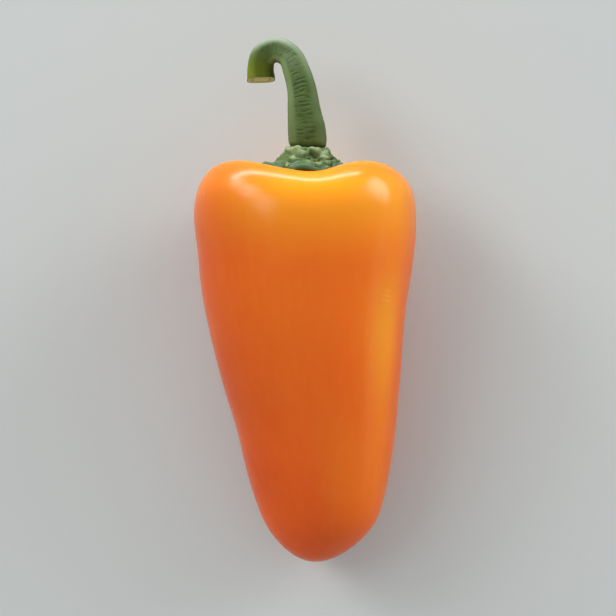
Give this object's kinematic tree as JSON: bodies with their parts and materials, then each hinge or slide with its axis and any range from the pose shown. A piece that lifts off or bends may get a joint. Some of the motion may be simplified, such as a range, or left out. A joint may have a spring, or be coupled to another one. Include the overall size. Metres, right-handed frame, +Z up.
{
  "type": "sweet pepper",
  "caption": "Small blunt conical orange sweet pepper with soft lobes, a toothed green calyx and a hooked stalk, lying on its back.",
  "frame": {"origin": "on the surface it lies on, under the middle of its box", "axes": "+Y along its length towards the stalk, +Z up, so that its front faces up"},
  "size_m": [0.0468, 0.11, 0.0424],
  "materials": {
    "orange_skin": "smooth waxy orange skin, glossy",
    "calyx_green": "matte green, ridged",
    "stalk_green": "matte grey-green, ribbed"
  },
  "bodies": {
    "root": {"fruit": "orange_skin", "calyx": "calyx_green", "stalk": "stalk_green"}
  },
  "joints": []
}
